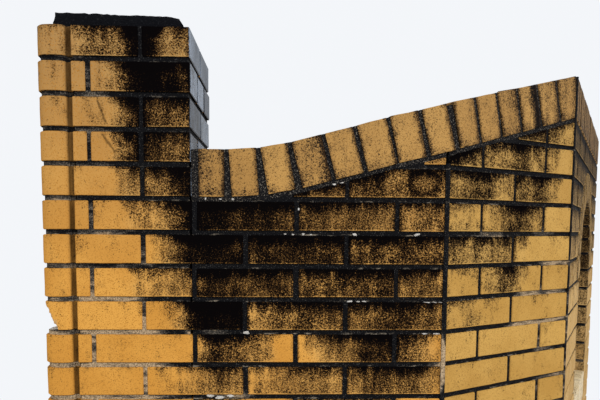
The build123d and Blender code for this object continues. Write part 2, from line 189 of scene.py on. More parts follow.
# Dark drips that hang from the bed joint over each course
drips = {
    "front": {
        1: 0.80, 2: 0.50, 3: 0.60, 4: 0.45, 5: 0.65, 6: 0.85, 7: 0.85, 8: 0.80, 9: 0.90, 10: 0.75, 11: 0.75,
        12: 0.45, 13: 0.2,
    },
    "splay": {3: 0.5, 4: 0.9, 5: 0.9, 6: 0.8, 7: 1.0, 8: 0.8, 9: 0.7, 10: 0.3, 11: 0.16},
    "side": {2: 0.8, 3: 0.8, 4: 0.8, 5: 0.7, 6: 0.6, 7: 0.5, 8: 0.4, 9: 0.3},
}
stainAndShade = {
    "edge": 0.016,  # how softly it ends
    "drift": 0.006,  # how far its edge wanders
    "clean": 0.05,  # what lies on a clean brick
    "drip": 0.06,
    "reveal": 0.20,  # painted shade on the jambs' faces in the opening, laid on as soot
    "back": 0.6,  # how much of it shows on the back
    "pier side": 0.06,
    "further down": 0.07,  # what each course of the pier's side adds
}
# A mark where water stood: middle and half size along the run and in height, on its rim and inside it
ovalMark = {"place": (-0.060, 1.625, 0.038, 0.029), "rim": 0.42, "inside": 0.10}

# Where the joints have stayed paler: middle and half size along the run and in height, and how much
paleJoints = {
    "front": [
        (-0.94, 1.74, 0.13, 0.22, 0.42), (-0.94, 1.46, 0.18, 0.14, 0.50), (-0.90, 1.17, 0.24, 0.22, 0.78),
        (-0.58, 1.247, 0.08, 0.010, 0.9), (-0.55, 1.083, 0.07, 0.012, 0.7), (-0.30, 0.40, 0.95, 0.50, 0.62),
        (-0.01, 1.17, 0.02, 0.08, 0.9), (-0.745, 1.455, 0.02, 0.05, 0.52),
    ],
    "splay": [
        (0.46, 1.14, 0.10, 0.22, 0.50), (0.30, 0.40, 0.60, 0.52, 0.5), (0.17, 1.500, 0.06, 0.024, 0.66),
        (0.38, 1.500, 0.06, 0.022, 0.56), (0.44, 1.417, 0.07, 0.024, 0.74), (0.38, 1.334, 0.13, 0.022, 0.70),
        (0.38, 1.251, 0.15, 0.024, 0.72),
    ],
    "side": [(0.60, 0.45, 1.20, 0.60, 0.62), (0.10, 1.05, 0.22, 0.20, 0.5)],
}


def ovalReach(u, z, middle, height, halfWide, halfHigh):
    return np.hypot((u - middle) / halfWide, (z - height) / halfHigh)


def sootAndShadeOnBrick(runName, number, u, v, z):
    amount = np.zeros(len(u))
    wander = u + stainAndShade["drift"] * np.sin(z * 95 + u * 13 + number)
    for shift in np.linspace(-stainAndShade["edge"], stainAndShade["edge"], 9):
        level = np.full(len(u), stainAndShade["clean"])
        for start, end, thick in soot[runName].get(number, []):
            inside = (wander + shift > start / 1000) & (wander + shift < end / 1000)
            level = np.where(inside, np.maximum(level, thick / 100), level)
        amount += level / 9
    if runName == "front":
        onPierSide = (np.abs(u + plan["front"]) < 0.0012) & (z > clearAbove)
        amount = np.where(onPierSide, stainAndShade["pier side"] + stainAndShade["further down"] * (number - 1), amount)
        reach = ovalReach(u, z, *ovalMark["place"])
        amount += ovalMark["rim"] * smooth(1 - np.abs(reach - 1) / 0.3)
        amount += ovalMark["inside"] * smooth((1 - reach) / 0.3)
    # Painted shade on the jambs' faces inside the opening
    if runName == "side":
        reveal = np.minimum(np.abs(u - plan["nearJamb"]), np.abs(u - plan["nearJamb"] - plan["opening"]))
        amount += stainAndShade["reveal"] * smooth((0.006 - reveal) / 0.002)
    return np.where(v > plan["thickness"] * 0.5, amount * stainAndShade["back"], amount)


def sootOnJoint(runName, u, z):
    pale = np.zeros(len(u))
    for *place, strength in paleJoints[runName]:
        pale = np.maximum(pale, strength * smooth((1.25 - ovalReach(u, z, *place)) / 0.5))
    return 1 - pale


def dripsOn(runName, number, v):
    return np.where(v < 0.06, 1.0, stainAndShade["back"]) * drips[runName].get(number, stainAndShade["drip"])


# Ways of working that several pieces share
def deselect():
    if bpy.context.object and bpy.context.object.mode != "OBJECT":
        bpy.ops.object.mode_set(mode="OBJECT")
    bpy.ops.object.select_all(action="DESELECT")


def takeUp(thing):
    deselect()
    thing.select_set(True)
    bpy.context.view_layer.objects.active = thing


def edit(thing):
    takeUp(thing)
    bpy.ops.object.mode_set(mode="EDIT")


def leaveEdit():
    bpy.ops.object.mode_set(mode="OBJECT")


def shadeSmooth(thing, angle):
    takeUp(thing)
    bpy.ops.object.shade_smooth_by_angle(angle=math.radians(angle))
    return thing


def copyAs(name, source):
    made = bpy.data.objects.new(name, source.data.copy())
    bpy.context.scene.collection.objects.link(made)
    return made


def readPoints(mesh):
    points = np.zeros(len(mesh.vertices) * 3)
    mesh.vertices.foreach_get("co", points)
    return points.reshape(-1, 3)


def writePoints(mesh, points):
    mesh.vertices.foreach_set("co", np.asarray(points).ravel())
    mesh.update()


# Writes named values to a mesh's points; a single number goes to all of them
def note(mesh, **named):
    for name, values in named.items():
        if np.ndim(values) == 0:
            values = np.full(len(mesh.vertices), values)
        kind, field = ("FLOAT", "value") if values.ndim == 1 else ("FLOAT_VECTOR", "vector")
        held = mesh.attributes.new(name, kind, "POINT")
        held.data.foreach_set(field, values.astype(np.float32).ravel())


def joinAs(things, name):
    deselect()
    for thing in things:
        thing.select_set(True)
    bpy.context.view_layer.objects.active = things[0]
    if len(things) > 1:
        bpy.ops.object.join()
    things[0].name = name
    things[0].data.name = name
    return things[0]


def roughen(points, amount, size, seed=0.0):
    shift = Vector((seed, seed * 0.7, -seed))
    return points + np.array([noise.noise_vector(Vector(point) / size + shift) for point in points]) * amount


def cutAcross(point, direction, keepSide=False):
    bpy.ops.mesh.select_all(action="SELECT")
    bpy.ops.mesh.bisect(
        plane_co=point, plane_no=direction, use_fill=keepSide, clear_outer=keepSide, threshold=0.00002
    )


def bevelArrises(width, sharp=35):
    bpy.ops.mesh.select_mode(type="EDGE")
    bpy.ops.mesh.select_all(action="DESELECT")
    bpy.ops.mesh.edges_select_sharp(sharpness=math.radians(sharp))
    bpy.ops.mesh.bevel(offset=width, segments=1, affect="EDGES", clamp_overlap=True)


# One brick is modelled and copied: a fine one for the stained faces, a plain one for the rest
def modelBrick(name, cutsAlong, cutsUp):
    deselect()
    bpy.ops.mesh.primitive_cube_add(size=1, location=(0, 0, 0))
    master = bpy.context.object
    master.name = name
    master.scale = (brick["length"], brick["width"], brick["height"])
    bpy.ops.object.transform_apply(scale=True)
    edit(master)
    bevelArrises(brick["arris"])
    for i in range(1, cutsAlong + 1):
        cutAcross(((i / (cutsAlong + 1) - 0.5) * brick["length"], 0, 0), (1, 0, 0))
    for i in range(1, cutsUp + 1):
        cutAcross((0, 0, (i / (cutsUp + 1) - 0.5) * brick["height"]), (0, 0, 1))
    leaveEdit()
    return shadeSmooth(master, 30)


fineBrick = modelBrick("fineBrick", 23, 6)
plainBrick = modelBrick("plainBrick", 2, 0)
print("the two master bricks are modelled")


# Stretches a master brick between two ends and keeps the width of its arrises
def spread(places, size, low, high):
    edge = brick["arris"] * 1.2
    fromLow = places + size / 2
    fromHigh = size / 2 - places
    share = (fromLow - edge) / (size - 2 * edge)
    between = low + edge + share * (high - low - 2 * edge)
    return np.where(fromLow <= edge, low + fromLow, np.where(fromHigh <= edge, high - fromHigh, between))


def at(limit, *where):
    return limit(*where) if callable(limit) else limit


irregular = {
    "set back": (0.0002, 0.0014), "tip": 0.012, "twist": 0.006, "play": 0.0012,
    "wave": 0.0007, "wave size": 0.045,
}


# Lays one brick in a run. Left, right and top may follow a line, given as a function.
def layBrick(runName, number, left, right, near, far, top=None, fine=False):
    laid = copyAs("brick", fineBrick if fine else plainBrick)
    points = readPoints(laid.data)
    play = irregular["play"]
    bottom, upper = bottomOf(number), topOf(number)
    lift = chance.uniform(-play, play) * 0.5
    nudge = chance.uniform(-play, play)
    v = spread(points[:, 1], brick["width"], near, far)
    z = spread(points[:, 2], brick["height"], bottom, upper)
    low, high = at(left, v, z), at(right, v, z)
    u = spread(points[:, 0], brick["length"], low, high)
    if top:
        upper = np.minimum(upper, top(u))
        z = spread(points[:, 2], brick["height"], bottom, upper)
    setBack = chance.uniform(*irregular["set back"])
    tip = chance.uniform(-1, 1) * irregular["tip"] * (z - z.mean())
    twist = chance.uniform(-1, 1) * irregular["twist"] * (u - u.mean())
    note(
        laid.data, soot=sootAndShadeOnBrick(runName, number, u, v, z), drip=dripsOn(runName, number, v),
        tone=chance.uniform(-1, 1),
        onBrick=np.stack([np.minimum(u - low, high - u), upper - z, z - bottom], axis=1),
    )
    if near < 0.001 or far > plan["thickness"] - 0.001:
        v = v + np.where(v < (near + far) / 2, 1, -1) * (setBack + np.abs(tip + twist))
    if not callable(left) and not callable(right):
        u = u + nudge
    points = toWorld(runs[runName], u, v, z + lift)
    writePoints(laid.data, roughen(points, irregular["wave"], irregular["wave size"], chance.uniform(0, 40)))
    return laid


# The line that the brickwork is cut to under the ramped coping, read from the frame
def cutLine(nodeName, runName):
    u, v, z = toRun(runs[runName], readPoints(nodes[nodeName].data))
    onFace = (np.abs(v) < 0.0005) & (z > 1.2)
    order = np.argsort(u[onFace])
    line = u[onFace][order], z[onFace][order]
    return lambda place: np.interp(place, *line)


def archCut(side):
    reach = plan["arch"] + plan["ring"] + brick["joint"]

    def limit(v, z):
        rise = np.clip(z - bottomOf(plan["overSpring"]), 0, reach - 0.008)
        return archMiddle + side * np.sqrt(reach * reach - rise * rise)

    return limit


# The slanting end of a run, half a joint from the mitre with the next one
def mitredEnd(place, halfAngle, side):
    def limit(v, z):
        return place + side * (halfJoint + v * math.sin(halfAngle)) / math.cos(halfAngle)

    return limit


# Under the ramp a brick of which only a sliver would stand is left out, and one with a thin end is
# trimmed there step by step
ramp = {"sliver": 0.010, "thin end": 0.006, "trim": 0.002}


# Lays one course of a run, given its joints; the run's own ends may slant.
# A stretcher has another behind it; a header runs through the wall.
def layCourse(runName, number, joints, startLimit=None, endLimit=None, cut=None, fine=False):
    laid = []
    bottom = bottomOf(number)
    leaf, deep = brick["width"], plan["thickness"]
    for i, (start, end) in enumerate(zip(joints, joints[1:])):
        if cut:
            if cut(end - halfJoint) < bottom + ramp["sliver"]:
                continue
            while cut(start + halfJoint) < bottom + ramp["thin end"]:
                start += ramp["trim"]
        left = startLimit if i == 0 and startLimit else start + halfJoint
        right = endLimit if i == len(joints) - 2 and endLimit else end - halfJoint
        top = cut if cut and cut(start + halfJoint) < topOf(number) - 0.001 else None
        header = end - start < leaf + brick["joint"] * 1.5
        for near, far in [(0, deep)] if header else [(0, leaf), (deep - leaf, deep)]:
            laid.append(layBrick(runName, number, left, right, near, far, top, fine and near == 0))
    return laid


# Pier: left, right, near and far side of each brick, from the pier's left face and its front
pierBond = {
    "every odd": [(0.0, 0.115, 0.127, 0.367), (0.127, 0.241, 0.254, 0.367)],
    "odd": [(0.253, 0.367, 0.0, 0.178), (0.253, 0.367, 0.190, 0.367)],
    "odd by wall": [(0.253, 0.367, 0.254, 0.367)],
    "every even": [(0.0, 0.178, 0.252, 0.367), (0.127, 0.367, 0.127, 0.242), (0.190, 0.367, 0.254, 0.367)],
    "even": [(0.127, 0.367, 0.0, 0.115)],
    "fourth": [(0.127, 0.241, 0.0, 0.115), (0.253, 0.367, 0.0, 0.115)],
}


def pierCells(number):
    if number % 2:
        return pierBond["every odd"] + pierBond["odd" if number <= rampFoot else "odd by wall"]
    return pierBond["every even"] + pierBond["fourth" if number == 4 else "even"]


stainedCourses = 13  # from here down a plain brick is fine enough
pierBricks = []
for number in range(1, plan["courses"] + 1):
    for left, right, near, far in pierCells(number):
        fine = number <= stainedCourses and near == 0
        pierBricks.append(layBrick("front", number, pierLeft + left, pierLeft + right, near, far, fine=fine))
print("pier:", len(pierBricks), "bricks")

# Front run: below the ramp's foot its stretchers run on into the pier
frontBricks = []
frontEnd = mitredEnd(0, halfBend, -1)
frontCut = cutLine("front_wall", "front")
for number in range(4, plan["courses"] + 1):
    joints = [-0.630, -0.378, -0.126, 0.0]
    if number % 2:
        joints = [-0.630 if number == rampFoot else -0.756, -0.504, -0.252, 0.0]
    frontBricks += layCourse("front", number, joints, None, frontEnd, frontCut, number <= stainedCourses)
print("front run:", len(frontBricks), "bricks")

splayBricks = []
splayStart = mitredEnd(0, halfBend, 1)
splayEnd = mitredEnd(plan["splay"], halfCorner, -1)
splayCut = cutLine("splay_wall", "splay")
for number in range(3, plan["courses"] + 1):
    joints = [0.126, 0.380 if number == 3 else 0.378]
    if number % 2 and number > 3:
        joints = [0.252]
    joints = [0.0, *joints, plan["splay"]]
    fine = number <= stainedCourses
    splayBricks += layCourse("splay", number, joints, splayStart, splayEnd, splayCut, fine)
print("splay:", len(splayBricks), "bricks")

# Side run: whole courses under the sill and over the arch, jambs between them
sideStart = mitredEnd(0, halfCorner, 1)
sideEnd = plan["side"] + halfJoint
nearEdge = plan["nearJamb"] + halfJoint
farEdge = plan["nearJamb"] + plan["opening"] - halfJoint
nearLimit, farLimit = archCut(-1), archCut(1)
sideBricks = {"low": [], "jambs": [], "over": []}
wholeOdd = [0.0, 0.190, 0.442, 0.694, 0.946, 1.198, sideEnd]
wholeEven = [0.0, 0.127, 0.315, 0.568, 0.820, 1.072, 1.251, sideEnd]
for number in range(3, plan["courses"] + 1):
    odd = number % 2
    if number >= plan["underSill"] or number <= plan["overCrown"]:
        group = "low" if number >= plan["underSill"] else "over"
        sideBricks[group] += layCourse("side", number, wholeOdd if odd else wholeEven, sideStart)
        continue
    nearJoints = [0.0, 0.190] if odd else [0.0, 0.127, 0.315]
    farJoints = [1.251, sideEnd] if odd else [1.126, sideEnd]
    if number > plan["overSpring"]:
        sideBricks["jambs"] += layCourse("side", number, nearJoints + [nearEdge], sideStart)
        sideBricks["jambs"] += layCourse("side", number, [farEdge] + farJoints)
        continue
    middleZ = bottomOf(number) + brick["height"] / 2
    nearReach = float(nearLimit(0, middleZ))
    farReach = float(farLimit(0, middleZ))
    nearJoints = [joint for joint in nearJoints if joint < nearReach - 0.030]
    farJoints = [joint for joint in farJoints if joint > farReach + 0.030]
    sideBricks["over"] += layCourse("side", number, nearJoints + [nearReach], sideStart, nearLimit)
    sideBricks["over"] += layCourse("side", number, [farReach] + farJoints, farLimit)
print("side run:", sum(len(group) for group in sideBricks.values()), "bricks")

# Moulded bricks at the pier's corner: a bead round the arris, with a quirk on both of its faces
mould = {
    "long": 0.241, "short": 0.115, "deep": 0.240, "flat from": 0.082, "quirk from": 0.054,
    "quirk to": 0.0835, "quirk shade": 0.74, "drips": 0.8, "twist": 0.006, "set back": 0.0012,
    "play": 0.0014, "wave": 0.0006, "wave size": 0.04, "broken course": 9, "break depth": 0.005,
}


def beadOutline():
    points = readPoints(nodes["pier_corner_moulding"].data)
    foot = points[points[:, 2] < points[:, 2].min() + 0.001][:, :2] - np.array([pierLow.x, pierLow.y])
    foot = np.unique(np.round(foot, 5), axis=0)
    inner = foot.max(axis=0)
    foot = foot[np.hypot(*(foot - inner).T) > 0.002]
    angle = np.mod(np.arctan2(foot[:, 1] - inner[1], foot[:, 0] - inner[0]) + 1e-4, 2 * math.pi)
    return [tuple(point) for point in foot[np.argsort(-angle)]]


def modelBeadBrick(name, across, deep):
    flat = mould["flat from"]
    outline = [(across, 0.0), (flat, 0.0)] + beadOutline() + [(0.0, flat), (0.0, deep), (across, deep)]
    deselect()
    bpy.ops.mesh.primitive_circle_add(vertices=len(outline), radius=0.1, fill_type="NGON")
    master = bpy.context.object
    master.name = name
    writePoints(master.data, [(x, y, 0.0) for x, y in outline])
    edit(master)
    bpy.ops.mesh.select_all(action="SELECT")
    bpy.ops.mesh.extrude_region_move(TRANSFORM_OT_translate={"value": (0, 0, brick["height"])})
    bpy.ops.mesh.select_all(action="SELECT")
    bpy.ops.mesh.normals_make_consistent(inside=False)
    bevelArrises(brick["arris"], 50)
    for i in range(1, round((across - flat) / 0.012)):
        cutAcross((flat + i * 0.012, 0, 0), (1, 0, 0))
    for i in range(1, 5):
        cutAcross((0, 0, brick["height"] * i / 5), (0, 0, 1))
    leaveEdit()
    return shadeSmooth(master, 35)


# The lower left of one bead is knocked off
def breakCorner(thing):
    lean = math.atan2(0.033, brick["height"])
    way = Vector((-math.cos(lean), -0.35, -math.sin(lean))).normalized()
    start = Vector((0.0, 0.0, brick["height"]))
    edit(thing)
    cutAcross(start, way, keepSide=True)
    bpy.ops.mesh.select_mode(type="FACE")
    bpy.ops.mesh.poke()
    bpy.ops.mesh.subdivide(number_cuts=4)
    leaveEdit()
    points = readPoints(thing.data)
    onBreak = np.abs((points - np.array(start)) @ np.array(way)) < 0.0003
    note(thing.data, raw=onBreak.astype(float))
    for i in np.flatnonzero(onBreak):
        rough = noise.noise(Vector(points[i]) / 0.016) + noise.noise(Vector(points[i]) / 0.006) * 0.6
        points[i] -= np.array(way) * mould["break depth"] * (0.55 + rough)
    points[:, 2] = np.clip(points[:, 2], 0, brick["height"])
    writePoints(thing.data, points)


longBead = modelBeadBrick("longBead", mould["long"], mould["short"])
shortBead = modelBeadBrick("shortBead", mould["short"], mould["deep"])
beadBricks = []
for number in range(1, plan["courses"] + 1):
    laid = copyAs("bead", longBead if number % 2 else shortBead)
    if number == mould["broken course"]:
        breakCorner(laid)
    points = readPoints(laid.data)
    outerReach, depthIn = points[:, :2].max(axis=1), points[:, :2].min(axis=1)
    twist = chance.uniform(-1, 1) * mould["twist"]
    points[:, 1] += 0.0002 + abs(chance.uniform(0, mould["set back"])) + np.abs(twist * points[:, 0])
    points[:, 0] += chance.uniform(0.0, mould["play"])
    u, v, z = pierLeft + points[:, 0], points[:, 1], bottomOf(number) + points[:, 2]
    world = toWorld(runs["front"], u, v, z)
    writePoints(laid.data, roughen(world, mould["wave"], mould["wave size"], chance.uniform(0, 40)))
    # In the bead's quirk the clay is darkened with painted shade, deeper towards the bottom of the groove
    inQuirk = (outerReach > mould["quirk from"]) & (outerReach < mould["quirk to"]) & (depthIn < 0.03)
    fromEnd = np.full(len(u), 0.05)
    note(
        laid.data, soot=sootAndShadeOnBrick("front", number, u, v * 0.3, z),
        shade=np.where(inQuirk, mould["quirk shade"] * smooth(depthIn / 0.008), 0.0),
        drip=drips["front"].get(number, stainAndShade["drip"]) * mould["drips"], tone=chance.uniform(-1, 1),
        onBrick=np.stack([fromEnd, topOf(number) - z, z - bottomOf(number)], axis=1),
    )
    beadBricks.append(laid)
print("moulded corner:", len(beadBricks), "bricks")


# Copies of frame nodes, merged and ready to work on; the nodes themselves are left alone
def copyOf(nodeNames, name):
    copies = []
    for nodeName in nodeNames:
        made = copyAs(name, nodes[nodeName])
        made.data.transform(nodes[nodeName].matrix_world)
        made.data.materials.clear()
        edit(made)
        bpy.ops.mesh.select_all(action="SELECT")
        bpy.ops.mesh.remove_doubles(threshold=0.00005)
        bpy.ops.mesh.dissolve_limited(angle_limit=math.radians(0.5))
        bpy.ops.mesh.normals_make_consistent(inside=False)
        leaveEdit()
        copies.append(made)
    return joinAs(copies, name)


# Numbers the separate solids of a mesh: a label for each point, and how many there are
def islandsOf(mesh):
    ends = np.array([edge.vertices[:] for edge in mesh.edges]).T
    label = np.arange(len(mesh.vertices))
    before = None
    while not np.array_equal(before, label):
        before = label.copy()
        for end in ends:
            np.minimum.at(label, end, label[ends].min(axis=0))
    found, label = np.unique(label, return_inverse=True)
    return label, len(found)


def gridCut(runName, thing, stepAlong, stepIn, stepUp):
    run = runs[runName]
    u, v, z = toRun(run, readPoints(thing.data))
    edit(thing)
    ways = ((u, stepAlong, run["along"]), (v, stepIn, run["inward"]), (z, stepUp, Vector((0, 0, 1))))
    for values, step, direction in ways:
        low, high = values.min(), values.max()
        pieces = max(1, round((high - low) / step))
        start = run["origin"] if direction.z == 0 else Vector()
        for i in range(1, pieces):
            cutAcross(start + direction * (low + i * (high - low) / pieces), direction)
    leaveEdit()


# Mortar stands back from the bricks: a copy of the solid that it lies in has its faces pushed in
mortar = {"set back": 0.0055, "grain": 0.0014, "grain size": 0.012}
fineCell, middleCell, wallCell, wideCell, deepCell = 0.014, 0.020, 0.024, 0.040, 0.060


# Pushes in the faces of a copy that look in a direction and reach at least so far that way
def pushIn(thing, direction, atLeast=-math.inf, distance=mortar["set back"]):
    direction = Vector(direction).normalized()
    edit(thing)
    bpy.ops.mesh.select_mode(type="FACE")
    bpy.ops.mesh.select_all(action="DESELECT")
    leaveEdit()
    chosen = 0
    for face in thing.data.polygons:
        face.select = face.normal.dot(direction) > 0.985 and face.center.dot(direction) >= atLeast
        chosen += face.select
    if chosen:
        bpy.ops.object.mode_set(mode="EDIT")
        bpy.ops.transform.translate(value=-direction * distance)
        leaveEdit()


# The direction and the reach of the face of a node that looks most towards a direction
def faceTowards(nodeName, towards):
    found = max(nodes[nodeName].data.polygons, key=lambda face: face.normal.dot(towards))
    return found.normal.copy(), found.center.dot(found.normal)


# Bricks that come from the frame: the coping, the sill and the arch
worn = {"arris": 1.15, "wave": 0.0009, "wave size": 0.03, "set back": 0.0012, "soot": (0.1, 0.0)}


def workBricks(nodeNames, name, runName, steps, dirt=None, pushes=()):
    thing = copyOf(nodeNames, name)
    for push in pushes:
        pushIn(thing, *push)
    edit(thing)
    bevelArrises(brick["arris"] * worn["arris"], 25)
    leaveEdit()
    gridCut(runName, thing, *steps)
    points = readPoints(thing.data)
    label, count = islandsOf(thing.data)
    tones = np.array([chance.uniform(-1, 1) for _ in range(count)])
    seeds = [chance.uniform(0, 40) for _ in range(count)]
    u, v, z = toRun(runs[runName], points)
    place = np.zeros((len(u), 3))
    amount = np.zeros(len(u))
    shade = np.zeros(len(u))
    inOrder = np.argsort([u[label == i].mean() for i in range(count)])
    for rank, i in enumerate(inOrder):
        here = label == i
        place[here, 0] = u[here] - u[here].mean()
        place[here, 1] = z[here].max() - z[here]
        place[here, 2] = z[here] - z[here].min()
        amount[here], shade[here] = dirt(runName, rank, u[here], z[here]) if dirt else worn["soot"]
        inward = np.array(runs[runName]["inward"]) * chance.uniform(0.0, worn["set back"])
        outer = v[here] < plan["thickness"] / 2
        points[here] += np.where(outer[:, None], inward, -inward)
        points[here] = roughen(points[here], worn["wave"], worn["wave size"], seeds[i])
    writePoints(thing.data, points)
    note(thing.data, tone=tones[label], soot=amount, shade=shade, onBrick=place)
    return shadeSmooth(thing, 30)


# Soot on the coping bricks, and painted shade along their side edges (right edge, left edge)
copingDirtAndShade = {
    "plain": {"front": 0.10, "splay": 0.10, "side": 0.32}, "edge soot": 0.46, "foot": 0.14,
    "right edge": 0.56, "left edge": 0.32, "edge": 0.012, "run off": 0.034,
    "dull": {"front": {0: 0.13, 3: 0.05}, "splay": {2: 0.07, 3: 0.04, 4: 0.06, 5: 0.12}, "side": {}},
    "darker": {
        "front": {3: 0.26}, "splay": {0: 0.1, 1: 0.12, 2: 0.26, 3: 0.95, 4: 0.26, 5: 0.18}, "side": {},
    },
}


# How far each point lies from a leaning brick's foot and from its two sides
def acrossBrick(u, z):
    flat = np.stack([u - u.mean(), z - z.mean()], axis=1)
    spreads, axes = np.linalg.eigh(flat.T @ flat)
    upright = axes[:, 1] * (1 if axes[1, 1] > 0 else -1)
    across = flat @ np.array([upright[1], -upright[0]])
    up = flat @ upright
    return up - up.min(), across - across.min(), across.max() - across


# Soot on a coping brick, and painted shade darkening its side edges, more on the right
def copingSootAndShade(runName, rank, u, z):
    up, toLeft, toRight = acrossBrick(u, z)
    rightEdge = smooth(1 - toRight / copingDirtAndShade["edge"])
    leftEdge = smooth(1 - toLeft / copingDirtAndShade["edge"] * 1.5)
    amount = copingDirtAndShade["plain"][runName] + copingDirtAndShade["dull"][runName].get(rank, 0.0)
    amount += copingDirtAndShade["edge soot"] * (rightEdge + leftEdge * 0.5)
    amount += copingDirtAndShade["foot"] * smooth(1 - up / 0.03)
    amount += copingDirtAndShade["darker"][runName].get(rank, 0.0) * smooth(1.15 - toRight / copingDirtAndShade["run off"])
    return amount, copingDirtAndShade["right edge"] * rightEdge + copingDirtAndShade["left edge"] * leftEdge


def archSootAndShade(runName, rank, u, z):
    # Soot over the whole ring, and painted shade, laid on as soot and shade, under the arch's soffit
    reach = np.hypot(u - archMiddle, z - bottomOf(plan["overSpring"]))
    soffit = smooth((plan["arch"] + 0.006 - reach) / 0.003)
    return 0.26 + stainAndShade["reveal"] * soffit, 0.3 * soffit


# The two bricks at the bend are cut on one mitre; half a joint comes off both
upwards = Vector((0, 0, 1))
bendAcross = runs["front"]["along"] * math.cos(halfBend) + runs["front"]["inward"] * math.sin(halfBend)
frontMitre, frontReach = faceTowards("front_coping_8", bendAcross)
splayMitre, splayReach = faceTowards("splay_coping_1", -bendAcross)


def mitrePushes(distance):
    return [(frontMitre, frontReach - 0.002, distance), (splayMitre, splayReach - 0.002, distance)]


frontNodes = ["front_coping_%d" % i for i in range(1, 9)]
splayNodes = ["splay_coping_%d" % i for i in range(1, 7)]
sideNodes = ["side_coping_near", "side_coping_middle", "side_coping_far"]
frontTrim, splayTrim = mitrePushes(halfJoint)
rampSteps, levelSteps = (0.011, 0.024, 0.013), (0.018, 0.030, 0.018)
sillSteps, archSteps = (0.018, 0.030, 0.022), (0.022, 0.040, 0.022)
frontCoping = workBricks(frontNodes, "front_coping_bricks", "front", rampSteps, copingSootAndShade, [frontTrim])
splayCoping = workBricks(splayNodes, "splay_coping_bricks", "splay", rampSteps, copingSootAndShade, [splayTrim])
sideCoping = workBricks(sideNodes, "side_coping_bricks", "side", levelSteps, copingSootAndShade)
sillBricks = workBricks(["sill_brick_row"], "sill_bricks", "side", sillSteps)
archBricks = workBricks(["arch_ring"], "arch_bricks", "side", archSteps, archSootAndShade)

# The level coping's cut end at the corner is bare clay
cornerAcross = -runs["side"]["along"] * math.cos(halfCorner) - runs["side"]["inward"] * math.sin(halfCorner)
cornerMitre, cornerReach = faceTowards("side_coping_near", cornerAcross)
rawEnd = sideCoping.data.attributes.new("raw", "FLOAT", "FACE")
for i, face in enumerate(sideCoping.data.polygons):
    onCutEnd = face.normal.dot(cornerMitre) > 0.9 and face.center.dot(cornerMitre) > cornerReach - 0.004
    rawEnd.data[i].value = 0.5 if onCutEnd else 0.0
print("coping, sill and arch bricks are worked")


def workMortar(nodeNames, name, runName, pushes=(), cell=wallCell):
    thing = copyOf(nodeNames, name)
    for push in [*wedges.get(nodeNames[0], faces[runName]), *pushes]:
        pushIn(thing, *push)
    gridCut(runName, thing, cell, deepCell, cell)
    points = readPoints(thing.data)
    u, v, z = toRun(runs[runName], points)
    note(thing.data, soot=sootOnJoint(runName, u, z))
    writePoints(thing.data, roughen(points, mortar["grain"], mortar["grain size"], chance.uniform(0, 9)))
    return shadeSmooth(thing, 40)


inwards = {name: run["inward"] for name, run in runs.items()}
faces = {name: [(-inward,), (inward,)] for name, inward in inwards.items()}
# At the bend and the corner a wedge of mortar looks out between its two runs
wedges = {
    "bend_joint": [(-inwards["front"] - inwards["splay"],)],
    "corner_joint": [(-inwards["side"] - inwards["splay"],)],
}
alongSide = runs["side"]["along"]
sideReach = runs["side"]["origin"].dot(alongSide) + plan["side"] - 0.001
bendNodes = ["front_coping_8", "splay_coping_1"]
bendTops = [(faceTowards(name, upwards)[0], -math.inf, 0.003) for name in bendNodes]
bendPushes = faces["splay"] + bendTops + mitrePushes(-halfJoint)
spandrels = ["%s_spandrel_%s" % (end, part) for end in ("near", "far") for part in ("low", "high")]
# The piece, the nodes it is copied from, its run, what is pushed in besides the run's own faces, and
# the cell of its grid
mortarTable = [
    ("pier_mortar", ["pier_brickwork"], "front", [((-1, 0, 0),), ((1, 0, 0),)]),
    ("front_mortar", ["front_wall"], "front"),
    ("splay_mortar", ["splay_wall"], "splay"),
    ("bend_mortar", ["bend_joint"], "front"),
    ("corner_mortar", ["corner_joint"], "splay"),
    ("front_bed", ["front_bedding"], "front", [], fineCell),
    ("splay_bed", ["splay_bedding"], "splay", [], fineCell),
    ("side_bed", ["side_bedding"], "side", [(alongSide,)], middleCell),
    ("front_coping_mortar", ["front_coping_joints"], "front", [], fineCell),
    ("splay_coping_mortar", ["splay_coping_joints"], "splay", [], fineCell),
    ("bend_coping_mortar", bendNodes, "front", bendPushes, fineCell),
    ("side_coping_mortar", ["side_coping_joints"], "side", [(upwards,)], middleCell),
    ("side_mortar", ["under_sill_wall"], "side"),
    ("side_mortar", ["near_jamb"], "side", [(alongSide,)]),
    ("side_mortar", ["far_jamb"], "side", [(alongSide,), (-alongSide,)]),
    ("side_mortar", ["near_shoulder"], "side"),
    ("side_mortar", ["far_shoulder"], "side", [(alongSide, sideReach)]),
    *(("side_mortar", [name], "side", [], wideCell) for name in spandrels),
    ("side_mortar", ["crown_course"], "side"),
    ("sill_mortar", ["sill_joints", "sill_bedding"], "side", [(upwards,)], middleCell),
    ("arch_mortar", ["arch_joints"], "side", [], middleCell),
]
# Each piece's worked parts and the nodes they stand for
allMortar = {}
for name, nodeNames, *rest in mortarTable:
    worked, copied = allMortar.setdefault(name, ([], []))
    worked.append(workMortar(nodeNames, nodeNames[0] + "_mortar", *rest))
    copied += nodeNames

# At the back the corner's mortar is struck off level with the ramp, so that the cut end stands bare
rampUp, rampReach = faceTowards("splay_coping_6", upwards)
edit(allMortar["corner_mortar"][0][0])
cutAcross(rampUp * (rampReach - 0.002), rampUp, True)
leaveEdit()

